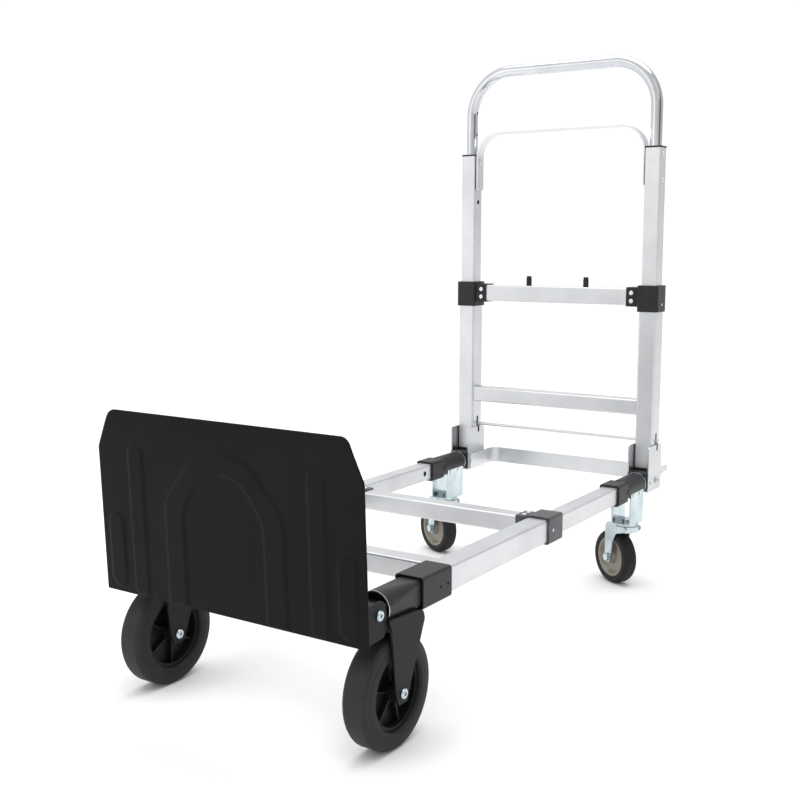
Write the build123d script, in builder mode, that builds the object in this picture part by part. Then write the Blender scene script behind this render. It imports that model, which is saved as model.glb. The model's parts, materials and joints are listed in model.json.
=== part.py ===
from build123d import *
import os
from math import cos, sin, radians

# Folding platform cart, in millimetres. +Z is up and the floor is Z = 0. X runs across the cart,
# and Y runs along the rails, from the nose plate at Y = 0 to the handle frame. The origin is on
# the floor, on the centre line, below the lower part of the nose plate's front face.

# ---------------------------------------------------------------- driving dimensions
rail_x = 193.5  # centre line of each rail, upright, handle leg and wheel
rail_z = 188.7  # centre line of the rails

# telescoping aluminium sections
outer_x, outer_d, outer_wall, outer_corner = 35.0, 37.0, 1.5, 4.0
inner_x, inner_d, inner_wall, inner_corner = 30.0, 30.0, 1.4, 3.0
slide_gap = 0.3  # clearance round an inner section in a collar
cross_wide, cross_tall, cross_wall, cross_corner = 32.0, 29.0, 1.5, 3.0

# front frame
outer_rail_y0, outer_rail_y1 = 149.0, 545.5
front_collar_y0, front_collar_y1 = 133.0, 203.5
front_collar_x, front_collar_z = 44.0, 43.0
mouth_wall = 2.2
front_crossbar_y = 228.0
rail_collar_y0 = 501.0
collar_x, collar_d, collar_corner = 41.0, 43.0, 4.0
collar_long, ear_middle = 49.0, 27.0  # eared collars: length, and their crossbar's distance along
ear_reach, ear_wall = 23.0, 2.0
rivet_x = 160.5
rivet_in = rail_x - rivet_x
rivet_pair = (-7.5, 7.5)
rivet_d, rivet_head_d, rivet_head_h = 5.0, 8.5, 1.8
stud_along, stud_d, stud_head_d, stud_deep = 13.5, 2.6, 4.6, 2.5  # stud in a collar's outer side

# front sleeve, its steel rim and the tongue that carries the nose plate
sleeve_front_y, sleeve_front_r = 57.0, 22.0
sleeve_box, sleeve_box_corner = 36.0, 6.0
rim_thick = 1.4
hinge_y, hinge_z = 35.0, 188.7
tongue_half, tongue_r = 17.4, 13.5

# front wheels
wheel_r, wheel_wide, wheel_y = 75.0, 39.0, 82.0
hub_r, hub_wide, boss_r = 50.0, 27.0, 13.0
spoke_count, spoke_thick, spoke_wide = 6, 2.6, 19.0
spoke_start = {"left": 30.0, "right": -14.0}  # each wheel stands at its own angle, degrees
axle_d, axle_clear = 8.0, 0.05
fork_half, fork_leg_thick, fork_crown_z = 24.5, 3.2, 160.0
bolt_head_d, bolt_head_h, bolt_socket = 14.0, 3.6, 5.0

# nose plate, leaning forward from the vertical
plate_lean = 2.4
plate_half, plate_top_half = 222.5, 199.0
plate_bottom, plate_shoulder, plate_top = -31.5, 172.0, 224.8  # measured from the hinge axis
plate_thick, rib_high = 2.5, 1.6
ear_thick, ear_gap = 2.6, 0.5

# rear frame
inner_rail_y0, inner_rail_y1 = 395.0, 825.0
rear_sleeve_y0, rear_box_y1, rear_sleeve_y1 = 785.0, 827.0, 907.0
rear_box, rear_barrel_r = 38.0, 20.0
snap_hole_y, snap_hole_d = 762.0, 9.5

# hinge brackets, pivot and locking rod
pivot_y, pivot_z = 962.0, 188.0
bracket_half, bracket_wall = 20.5, 2.5
bracket_y0, bracket_y1, bracket_z0, bracket_z1 = 920.0, 986.0, 170.0, 256.0
rod_d, rod_rest_z, rod_locked_z, rod_high_z = 6.0, 262.0, 247.0, 274.0
strap_y, strap_thick, strap_tall, strap_bend = 1024.0, 3.5, 30.5, 18.0

# casters
caster_y, caster_r, caster_wide, caster_hub_r, caster_trail = 872.0, 50.0, 28.0, 37.0, 32.0
caster_turn = {"left": 156.0, "right": 149.0}  # direction that each caster trails in, degrees
caster_bracket_half, caster_bracket_wall = 19.0, 3.0
caster_bracket_y0, caster_bracket_y1 = 842.0, 902.0
caster_bracket_z0, caster_bracket_z1 = 121.0, 182.0

# upright frame
upright_z0, upright_z1 = 211.5, 550.5
upright_collar_z0 = 506.0
lower_crossbar_z = 325.0
peg_x, peg_d, peg_tall, peg_rings = 61.0, 11.0, 19.0, 4

# telescoping handle frame
upper_z0, upper_z1 = 460.0, 806.0
plug_flange, flap_tall, flap_thick = 3.0, 68.0, 1.5
top_strap_z, top_strap_bend, top_strap_wide, top_strap_thick = 849.0, 48.0, 24.0, 3.0
upper_hole_z = 715.0
handle_d, handle_wall, handle_z, handle_bend, handle_z0 = 22.0, 1.5, 967.0, 85.0, 690.0

SIDES = (("left", -1), ("right", 1))
os.makedirs("parts", exist_ok=True)


# ---------------------------------------------------------------- helpers
def front_plane(y):
    """Plane facing the nose end at Y = y, with X across and Z up."""
    return Plane.XZ.offset(-y)


def side_plane(x):
    """Plane facing +X at X = x, with Y along and Z up."""
    return Plane.YZ.offset(x)


def floor_plane(z):
    """Plane facing up at Z = z."""
    return Plane.XY.offset(z)


def save(builder, name):
    """Label a finished piece and write its STEP file."""
    builder.part.label = name
    export_step(builder.part, f"parts/{name}.step")


def rounded_tube(plane, centre, wide, tall, corner, wall, length):
    """Add a rounded rectangular tube, drawn on a plane and extruded along its normal."""
    with BuildSketch(plane) as section:
        with Locations(centre):
            RectangleRounded(wide, tall, corner)
            RectangleRounded(wide - 2 * wall, tall - 2 * wall, corner - wall, mode=Mode.SUBTRACT)
    extrude(section.sketch, amount=length)


def cross_holes(plane, centres, diameter, depth):
    """Cut round holes into the present part from a plane, along its normal."""
    with BuildSketch(plane) as holes:
        with Locations(*centres):
            Circle(diameter / 2)
    extrude(holes.sketch, amount=depth, mode=Mode.SUBTRACT)


def domed_head(plane, centre, diameter, height, socket=0.0):
    """Add a round head standing on a plane, with a rounded edge and an optional hexagonal socket."""
    foot = plane.from_local_coords((centre[0], centre[1], 0))
    section = Plane(origin=foot, x_dir=plane.x_dir, z_dir=-plane.y_dir)
    r, bend = diameter / 2, height * 0.6
    with BuildSketch(section) as half:
        with BuildLine():
            Polyline((r - bend, height), (0, height), (0, 0), (r, 0), (r, height - bend))
            CenterArc((r - bend, height - bend), bend, 0, 90)
        make_face()
    revolve(half.sketch, axis=Axis(foot, plane.z_dir))
    if socket:
        with BuildSketch(plane.offset(height)) as hexagon:
            with Locations(centre):
                RegularPolygon(socket / 2, 6, major_radius=False)
        extrude(hexagon.sketch, amount=-height * 0.6, mode=Mode.SUBTRACT)


def rivet(plane, centre, length, diameter=rivet_d, head_d=rivet_head_d, head_h=rivet_head_h):
    """Add a rivet with its head standing on a plane and its shank going into it."""
    with BuildSketch(plane) as shank:
        with Locations(centre):
            Circle(diameter / 2)
    extrude(shank.sketch, amount=-length)
    domed_head(plane, centre, head_d, head_h)


def stud(s, y, z):
    """Add a small stud to the outer side of a collar at (y, z)."""
    face = s * (rail_x + collar_x / 2)
    outward = Plane(origin=(face, 0, 0), x_dir=(0, s, 0), z_dir=(s, 0, 0))
    rivet(outward, (s * y, z), stud_deep - 0.1, stud_d, stud_head_d, 0.9)


def through_bolt(x0, x1, y, z, diameter, head_d, head_h, socket):
    """Add a bolt along X with a round head at each end."""
    with BuildSketch(side_plane(x0)) as shank:
        with Locations((y, z)):
            Circle(diameter / 2)
    extrude(shank.sketch, amount=x1 - x0)
    domed_head(side_plane(x1), (y, z), head_d, head_h, socket)
    near = Plane(origin=(x0, 0, 0), x_dir=(0, -1, 0), z_dir=(-1, 0, 0))
    domed_head(near, (-y, z), head_d, head_h, socket)


def eared_collar(origin, along, s, name):
    """Collar on an outer tube's end, with a lipped mouth for the inner tube and a socket ear.

    The tube runs along the given direction, and the ear's rivet holes face the section's -y side.
    """
    base = Plane(origin=origin, x_dir=(1, 0, 0), z_dir=along)
    rivet_side = Plane(origin=origin, x_dir=(1, 0, 0), z_dir=-base.y_dir)
    with BuildPart() as collar:
        with BuildSketch(base):
            RectangleRounded(collar_x, collar_d, collar_corner)
        extrude(amount=collar_long)
        fillet(collar.faces().sort_by(Axis(origin, along))[-1].edges(), 1.2)
        with BuildSketch(base.offset(ear_middle - cross_wide / 2 - ear_wall)):
            with Locations((-s * (collar_x / 2 + ear_reach / 2 - 2), 0)):
                Rectangle(ear_reach + 4, cross_tall + 2 * ear_wall)
        extrude(amount=cross_wide + 2 * ear_wall)
        with BuildSketch(base):
            RectangleRounded(outer_x + 0.2, outer_d + 0.2, outer_corner)
        extrude(amount=collar_long - 4, mode=Mode.SUBTRACT)
        with BuildSketch(base):
            RectangleRounded(inner_x + 2 * slide_gap, inner_d + 2 * slide_gap, inner_corner)
        extrude(amount=collar_long, mode=Mode.SUBTRACT)
        with BuildSketch(base.offset(ear_middle - cross_wide / 2 - 0.1)):
            with Locations((-s * (collar_x / 2 + 1.4 + 20), 0)):
                Rectangle(40, cross_tall + 0.2)
        extrude(amount=cross_wide + 0.2, mode=Mode.SUBTRACT)
        with BuildSketch(rivet_side):
            with Locations(*[(-s * rivet_in, ear_middle + d) for d in rivet_pair]):
                Circle(rivet_d / 2 + 0.05)
        extrude(amount=30, mode=Mode.SUBTRACT)
        cross_holes(
            side_plane(origin[0] + s * (collar_x / 2 - stud_deep)),
            [tuple(c + stud_along * a for c, a in zip(origin[1:], along[1:]))],
            stud_d + 0.1, s * 10,
        )
    save(collar, name)


# ---------------------------------------------------------------- front frame
for side, s in SIDES:
    x = s * rail_x
    with BuildPart() as outer_rail:
        rounded_tube(
            front_plane(outer_rail_y0), (x, rail_z), outer_x, outer_d, outer_corner, outer_wall,
            outer_rail_y0 - outer_rail_y1,
        )
    save(outer_rail, f"outer_rail_{side}")

    # box collar that joins the rail to the round-mouthed sleeve
    with BuildPart() as front_collar:
        with BuildSketch(front_plane(front_collar_y0)):
            with Locations((x, rail_z)):
                RectangleRounded(front_collar_x, front_collar_z, 4.5)
        extrude(amount=front_collar_y0 - front_collar_y1)
        fillet(front_collar.faces().sort_by(Axis.Y)[0].edges(), 1.0)
        with BuildSketch(front_plane(front_collar_y0)):
            with Locations((x, rail_z)):
                RectangleRounded(sleeve_box + 0.3, sleeve_box + 0.3, sleeve_box_corner)
        extrude(amount=-15.5, mode=Mode.SUBTRACT)
        with BuildSketch(front_plane(front_collar_y0)):
            with Locations((x, rail_z)):
                RectangleRounded(front_collar_x - 2 * mouth_wall, front_collar_z - 2 * mouth_wall, 4)
        extrude(amount=-9, mode=Mode.SUBTRACT)
        with BuildSketch(front_plane(front_collar_y0 + 15.5)):
            with Locations((x, rail_z)):
                RectangleRounded(outer_x + 0.2, outer_d + 0.2, outer_corner)
        extrude(amount=-80, mode=Mode.SUBTRACT)
        with BuildSketch(side_plane(x + s * front_collar_x / 2)):
            with Locations((176, rail_z - 1), (194, rail_z - 1)):
                Circle(2.0)
        extrude(amount=-s * 3.0, mode=Mode.SUBTRACT)
    save(front_collar, f"front_collar_{side}")

    # sleeve: round at its mouth and square in the collar, with the hinge tongue inside it
    with BuildPart() as front_sleeve:
        with BuildSketch(front_plane(sleeve_front_y)):
            with Locations((x, rail_z)):
                RectangleRounded(2 * sleeve_front_r, 2 * sleeve_front_r, sleeve_front_r - 0.05)
        with BuildSketch(front_plane(front_collar_y0 - 6)):
            with Locations((x, rail_z)):
                RectangleRounded(sleeve_box, sleeve_box, sleeve_box_corner)
        loft()
        with BuildSketch(front_plane(front_collar_y0 - 6)):
            with Locations((x, rail_z)):
                RectangleRounded(sleeve_box, sleeve_box, sleeve_box_corner)
        extrude(amount=-20.5)
        with BuildSketch(front_plane(sleeve_front_y)):
            with Locations((x, rail_z)):
                Circle(sleeve_front_r - 2.0)
        extrude(amount=-9, mode=Mode.SUBTRACT)
        with BuildSketch(side_plane(x - tongue_half)):
            with Locations((hinge_y, hinge_z)):
                Circle(tongue_r)
            with Locations((hinge_y + 18, hinge_z)):
                Rectangle(36, 2 * tongue_r - 8)
        extrude(amount=2 * tongue_half)
        with BuildSketch(side_plane(x - 30)):
            with Locations((hinge_y, hinge_z)):
                Circle(axle_d / 2 + axle_clear)
        extrude(amount=60, mode=Mode.SUBTRACT)
    save(front_sleeve, f"front_sleeve_{side}")

    # fork: an inverted channel below the sleeve, with two tapered legs
    with BuildPart() as wheel_fork:
        with BuildSketch(side_plane(x - fork_half)):
            with BuildLine():
                FilletPolyline(
                    (51, 178), (119, 173), (129, 170), (133, 159), (123.5, 137),
                    (97.5, 78), (92, 62), (72, 62), (66.5, 78), (60, 135), (57, 164),
                    radius=[2, 6, 6, 8, 10, 6, 6, 6, 6, 8, 4], close=True,
                )
            make_face()
        extrude(amount=2 * fork_half)
        with BuildSketch(front_plane(0)):
            with Locations((x, fork_crown_z - 70)):
                Rectangle(2 * (fork_half - fork_leg_thick), 140)
        extrude(amount=-200, mode=Mode.SUBTRACT)
        with BuildSketch(front_plane(sleeve_front_y + 1)):
            with Locations((x, fork_crown_z)):
                Rectangle(2 * (fork_half - fork_leg_thick), 60)
        extrude(amount=20, mode=Mode.SUBTRACT)
        add(front_sleeve.part, mode=Mode.SUBTRACT)
        with BuildSketch(side_plane(x - 30)):
            with Locations((wheel_y, wheel_r)):
                Circle(axle_d / 2 + axle_clear)
        extrude(amount=60, mode=Mode.SUBTRACT)
    save(wheel_fork, f"wheel_fork_{side}")

    eared_collar((x, rail_collar_y0, rail_z), (0, 1, 0), s, f"rail_collar_{side}")

with BuildPart() as front_crossbar:
    bar_half = rail_x - outer_x / 2
    rounded_tube(
        side_plane(-bar_half), (front_crossbar_y, rail_z), cross_wide, cross_tall, cross_corner,
        cross_wall, 2 * bar_half,
    )
save(front_crossbar, "front_crossbar")

mid_bar_half = rail_x - collar_x / 2 - 1.5
mid_bar_y = rail_collar_y0 + ear_middle
with BuildPart() as mid_crossbar:
    rounded_tube(
        side_plane(-mid_bar_half), (mid_bar_y, rail_z), cross_wide, cross_tall, cross_corner,
        cross_wall, 2 * mid_bar_half,
    )
    rivet_spots = [(s * rivet_x, mid_bar_y + d) for s in (-1, 1) for d in rivet_pair]
    cross_holes(floor_plane(rail_z), rivet_spots, rivet_d + 0.1, 40)
save(mid_crossbar, "mid_crossbar")

with BuildPart() as rail_rivets:
    for spot in rivet_spots:
        rivet(floor_plane(rail_z + cross_tall / 2 + ear_wall), spot, 5.0)
    for s in (-1, 1):
        stud(s, rail_collar_y0 + stud_along, rail_z)
save(rail_rivets, "rail_rivets")

# bright steel rims on the mouths of the front sleeves
with BuildPart() as front_rims:
    with BuildSketch(front_plane(sleeve_front_y)):
        with Locations((-rail_x, rail_z), (rail_x, rail_z)):
            Circle(sleeve_front_r)
            Circle(sleeve_front_r - 2.0, mode=Mode.SUBTRACT)
    extrude(amount=rim_thick)
save(front_rims, "front_sleeve_rims")

# socket-headed axle bolts of the wheels and hinge bolts of the nose plate
with BuildPart() as front_bolts:
    for s in (-1, 1):
        x = s * rail_x
        through_bolt(
            x - fork_half, x + fork_half, wheel_y, wheel_r, axle_d, bolt_head_d, bolt_head_h, bolt_socket
        )
        ear_out = tongue_half + ear_gap + ear_thick
        through_bolt(
            x - ear_out - 0.2, x + ear_out + 0.2, hinge_y, hinge_z, axle_d, bolt_head_d, bolt_head_h,
            bolt_socket,
        )
save(front_bolts, "front_bolts")

# ---------------------------------------------------------------- front wheels
for side, s in SIDES:
    x = s * rail_x
    spin = Axis((x, wheel_y, wheel_r), (1, 0, 0))

    with BuildPart() as tyre:
        with BuildSketch(floor_plane(wheel_r)):
            with Locations((x, wheel_y + (wheel_r + hub_r) / 2)):
                Rectangle(wheel_wide, wheel_r - hub_r)
            outside = vertices().group_by(Axis.Y)[-1]
            fillet(outside, 7.0)
            inside = vertices().group_by(Axis.Y)[0]
            fillet(inside, 5.0)
        revolve(axis=spin)
    save(tyre, f"front_tyre_{side}")

    with BuildPart() as hub:
        with BuildSketch(floor_plane(wheel_r)):
            with Locations((x, wheel_y + hub_r - 2.6)):
                Rectangle(hub_wide, 4.6)
            with Locations((x, wheel_y + hub_r / 2)):
                Rectangle(3.0, hub_r - 4)
            with Locations((x, wheel_y + boss_r / 2 + 1.5)):
                Rectangle(2 * (fork_half - fork_leg_thick) - 1.0, boss_r - 3)
        revolve(axis=spin)
        with BuildSketch(side_plane(x - spoke_wide / 2)):
            with Locations((wheel_y, wheel_r)):
                with PolarLocations(
                    (hub_r + boss_r) / 2 - 1.5, spoke_count, start_angle=spoke_start[side]
                ):
                    Rectangle(hub_r - boss_r - 2, spoke_thick)
        extrude(amount=spoke_wide)
        with BuildSketch(side_plane(x - 30)):
            with Locations((wheel_y, wheel_r)):
                Circle(axle_d / 2 + axle_clear)
        extrude(amount=60, mode=Mode.SUBTRACT)
    save(hub, f"front_hub_{side}")

# ---------------------------------------------------------------- nose plate
lean_cos, lean_sin = cos(radians(plate_lean)), sin(radians(plate_lean))
plate_face = Plane(
    origin=(0, hinge_y, hinge_z), x_dir=(1, 0, 0), z_dir=(0, -lean_cos, -lean_sin)
).offset(hinge_y)


def arch(half, side_top, shoulder_x, shoulder_top, top, mode=Mode.ADD):
    """Add or cut an arch that runs off the plate's bottom: straight legs and sloping shoulders."""
    foot = plate_bottom - 20
    with BuildLine() as outline:
        FilletPolyline(
            (half, foot), (half, side_top), (shoulder_x, shoulder_top), (0, top),
            (-shoulder_x, shoulder_top), (-half, side_top), (-half, foot), radius=9,
        )
        Line((-half, foot), (half, foot))
    make_face(outline.edges(), mode=mode)


with BuildPart() as nose_plate:
    with BuildSketch(plate_face):
        with BuildLine():
            FilletPolyline(
                (-plate_half, plate_bottom), (plate_half, plate_bottom), (plate_half, plate_shoulder),
                (plate_top_half, plate_top), (-plate_top_half, plate_top), (-plate_half, plate_shoulder),
                radius=[2, 2, 14, 16, 16, 14], close=True,
            )
        make_face()
    extrude(amount=-plate_thick)
    # pressed ribs: two long ones, a double arch, and a short closed one near each lower corner
    with BuildSketch(plate_face):
        for s in (-1, 1):
            with Locations((s * 152, 75)):
                RectangleRounded(26, 205, 8)
            with Locations((s * 195, 29)):
                SlotOverall(104, 28, rotation=90)
        arch(101, 112, 46, 176, 185)
        arch(68, 103, 34, 150, 158, Mode.SUBTRACT)
        with Locations((0, plate_bottom - 20)):
            Rectangle(500, 40, mode=Mode.SUBTRACT)
    extrude(amount=rib_high)
save(nose_plate, "nose_plate")

ear_in = tongue_half + ear_gap
with BuildPart() as plate_ears:
    for s in (-1, 1):
        x = s * rail_x
        for e in (-1, 1):
            start = x + e * ear_in if e > 0 else x + e * (ear_in + ear_thick)
            cheek = Plane(
                origin=(start, hinge_y, hinge_z), x_dir=(0, lean_cos, lean_sin), z_dir=(1, 0, 0)
            )
            with BuildSketch(cheek):
                with BuildLine():
                    FilletPolyline(
                        (-hinge_y + plate_thick, 17), (10, 17), (16.5, -4), (16.5, -22), (9, -31),
                        (-hinge_y + plate_thick, -31), radius=[0.5, 9, 9, 8, 8, 0.5], close=True,
                    )
                make_face()
                Circle(axle_d / 2 + axle_clear, mode=Mode.SUBTRACT)
            extrude(amount=ear_thick)
            flange = 9.5 if e == s else 16
            with BuildSketch(plate_face.offset(-plate_thick)):
                with Locations((x + e * (ear_in + flange / 2), -7)):
                    Rectangle(flange, 44)
            extrude(amount=-ear_thick)
        with BuildSketch(plate_face.offset(-plate_thick)):
            with Locations((x, -31 + ear_thick / 2)):
                Rectangle(2 * ear_in + 1, ear_thick)
        extrude(amount=-38)
save(plate_ears, "nose_plate_ears")

# ---------------------------------------------------------------- rear frame
for side, s in SIDES:
    x = s * rail_x
    with BuildPart() as inner_rail:
        rounded_tube(
            front_plane(inner_rail_y0), (x, rail_z), inner_x, inner_d, inner_corner, inner_wall,
            inner_rail_y0 - inner_rail_y1,
        )
        cross_holes(side_plane(x), [(snap_hole_y, rail_z)], snap_hole_d, -s * 30)
    save(inner_rail, f"inner_rail_{side}")

    # sleeve: box mouth, round barrel with flats for the caster bracket, and a tongue
    with BuildPart() as rear_sleeve:
        with BuildSketch(front_plane(rear_sleeve_y0)):
            with Locations((x, rail_z)):
                RectangleRounded(rear_box, rear_box, 5)
        extrude(amount=rear_sleeve_y0 - rear_box_y1)
        fillet(rear_sleeve.faces().sort_by(Axis.Y)[0].edges(), 1.2)
        with BuildSketch(front_plane(rear_box_y1)):
            with Locations((x, rail_z)):
                Circle(rear_barrel_r)
        extrude(amount=rear_box_y1 - rear_sleeve_y1)
        with BuildSketch(front_plane(rear_sleeve_y0)):
            with Locations((x, rail_z)):
                RectangleRounded(inner_x + 0.2, inner_d + 0.2, inner_corner)
        extrude(amount=rear_sleeve_y0 - inner_rail_y1 - 0.5, mode=Mode.SUBTRACT)
        with BuildSketch(front_plane(caster_bracket_y0 - 0.5)):
            for e in (-1, 1):
                with Locations((x + e * (caster_bracket_half - caster_bracket_wall - 0.1 + 10), 170)):
                    Rectangle(20, 26)
        extrude(amount=caster_bracket_y0 - caster_bracket_y1 - 1, mode=Mode.SUBTRACT)
        with BuildSketch(front_plane(rear_sleeve_y1)):
            with Locations((x, rail_z)):
                Circle(17)
        extrude(amount=-8)
        with BuildSketch(side_plane(x - tongue_half)):
            with Locations(((914 + 941) / 2, 190.5)):
                RectangleRounded(941 - 914, 34, 4)
        extrude(amount=2 * tongue_half)
        with BuildSketch(side_plane(x - 30)):
            with Locations((855, 177), (884, 177)):
                Circle(rivet_d / 2 + 0.05)
            with Locations((930, 187)):
                Circle(rivet_d / 2 + 0.05)
        extrude(amount=60, mode=Mode.SUBTRACT)
    save(rear_sleeve, f"rear_sleeve_{side}")

    # caster bracket: two side plates, a bottom and the upper bearing ring
    with BuildPart() as caster_bracket:
        with BuildSketch(side_plane(x - caster_bracket_half)):
            with Locations((caster_y, (caster_bracket_z0 + caster_bracket_z1) / 2)):
                RectangleRounded(60, caster_bracket_z1 - caster_bracket_z0, 2.5)
        extrude(amount=2 * caster_bracket_half)
        with BuildSketch(front_plane(0)):
            with Locations((x, caster_bracket_z0 + caster_bracket_wall + 50)):
                Rectangle(2 * (caster_bracket_half - caster_bracket_wall), 100)
        extrude(amount=-1000, mode=Mode.SUBTRACT)
        with BuildSketch(floor_plane(caster_bracket_z0)):
            with Locations((x, caster_y)):
                Circle(20.5)
        extrude(amount=-3.6)
        with BuildSketch(floor_plane(100)):
            with Locations((x, caster_y)):
                Circle(5.1)
        extrude(amount=40, mode=Mode.SUBTRACT)
        with BuildSketch(side_plane(x - 30)):
            with Locations((855, 177), (884, 177)):
                Circle(rivet_d / 2 + 0.05)
        extrude(amount=60, mode=Mode.SUBTRACT)
    save(caster_bracket, f"caster_bracket_{side}")

    # hinge bracket: two side plates with a notch for the locking rod, joined below by a web
    with BuildPart() as hinge_bracket:
        for e in (-1, 1):
            start = x + e * (bracket_half - bracket_wall) if e > 0 else x + e * bracket_half
            with BuildSketch(side_plane(start)):
                with BuildLine():
                    FilletPolyline(
                        (bracket_y0, bracket_z0), (bracket_y1, bracket_z0), (bracket_y1, bracket_z1),
                        (bracket_y0, bracket_z1), radius=[3, 8, 10, 4], close=True,
                    )
                make_face()
                if e == s:
                    with BuildLine():
                        FilletPolyline(
                            (bracket_y1 - 4, 193), (bracket_y1 + 12, 196), (strap_y - 2, 197),
                            (strap_y - 2, 207), (bracket_y1 + 8, 209), (bracket_y1 - 4, 212),
                            radius=[0.5, 8, 4.5, 4.5, 8, 0.5], close=True,
                        )
                    make_face()
                with Locations((pivot_y, rod_locked_z)):
                    Circle(rod_d / 2 + 0.5, mode=Mode.SUBTRACT)
                with Locations((pivot_y, rod_locked_z + 15)):
                    Rectangle(rod_d + 1, 30, mode=Mode.SUBTRACT)
                with Locations((pivot_y, pivot_z)):
                    Circle(axle_d / 2 + axle_clear, mode=Mode.SUBTRACT)
                with Locations((930, 187)):
                    Circle(rivet_d / 2 + 0.05, mode=Mode.SUBTRACT)
                if e != s:
                    with Locations((980, 187)):
                        Circle(rivet_d / 2 + 0.05, mode=Mode.SUBTRACT)
            extrude(amount=bracket_wall)
        with BuildSketch(side_plane(x - bracket_half + 1)):
            with Locations((930.5, bracket_z0 + 1.25)):
                Rectangle(17, 2.5)
        extrude(amount=2 * bracket_half - 2)
    save(hinge_bracket, f"hinge_bracket_{side}")

with BuildPart() as rear_rims:
    with BuildSketch(front_plane(rear_sleeve_y1)):
        with Locations((-rail_x, rail_z), (rail_x, rail_z)):
            Circle(rear_barrel_r + 0.8)
            Circle(17.1, mode=Mode.SUBTRACT)
    extrude(amount=-rim_thick)
save(rear_rims, "rear_sleeve_rims")

with BuildPart() as bracket_rivets:
    for s in (-1, 1):
        for y in (855, 884):
            through_bolt(
                s * rail_x - caster_bracket_half, s * rail_x + caster_bracket_half, y, 177,
                rivet_d, rivet_head_d, rivet_head_h, 0,
            )
save(bracket_rivets, "caster_bracket_rivets")

with BuildPart() as kingpins:
    with BuildSketch(floor_plane(102.5)):
        with Locations((-rail_x, caster_y), (rail_x, caster_y)):
            Circle(5.0)
    extrude(amount=25)
    with BuildSketch(floor_plane(caster_bracket_z0 + caster_bracket_wall)):
        with Locations((-rail_x, caster_y), (rail_x, caster_y)):
            Circle(8.5)
    extrude(amount=4)
    with BuildSketch(floor_plane(102.5)):
        with Locations((-rail_x, caster_y), (rail_x, caster_y)):
            Circle(8.0)
    extrude(amount=3.2)
save(kingpins, "caster_kingpins")

arm_x = rail_x - bracket_half - strap_thick / 2
with BuildPart() as rear_strap:
    with BuildLine(floor_plane(rail_z - 0.7)) as strap_path:
        FilletPolyline(
            (-arm_x, 924), (-arm_x, strap_y - strap_thick / 2), (arm_x, strap_y - strap_thick / 2),
            (arm_x, 924), radius=strap_bend,
        )
    with BuildSketch(front_plane(924)):
        with Locations((-arm_x, rail_z - 0.7)):
            Rectangle(strap_thick, strap_tall)
    sweep(path=strap_path.line)
    with BuildSketch(side_plane(-220)):
        with Locations((930, 187), (980, 187)):
            Circle(rivet_d / 2 + 0.05)
    extrude(amount=440, mode=Mode.SUBTRACT)
save(rear_strap, "rear_strap")

arm_face = rail_x - bracket_half - strap_thick
with BuildPart() as strap_rivets:
    for s in (-1, 1):
        inward = Plane(origin=(s * arm_face, 0, 0), x_dir=(0, -s, 0), z_dir=(-s, 0, 0))
        rivet(inward, (-s * 930, 187), strap_thick + bracket_wall + 8)
        rivet(inward, (-s * 980, 187), strap_thick + bracket_wall - 0.1)
save(strap_rivets, "rear_strap_rivets")

with BuildPart() as pivot_bolts:
    for s in (-1, 1):
        x_in, x_out = s * (rail_x - bracket_half + 0.1), s * (rail_x + bracket_half)
        with BuildSketch(side_plane(x_in)):
            with Locations((pivot_y, pivot_z)):
                Circle(axle_d / 2)
        extrude(amount=x_out - x_in)
        outward = Plane(origin=(x_out, 0, 0), x_dir=(0, s, 0), z_dir=(s, 0, 0))
        domed_head(outward, (s * pivot_y, pivot_z), 12.0, 3.0, bolt_socket)
save(pivot_bolts, "pivot_bolts")

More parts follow.
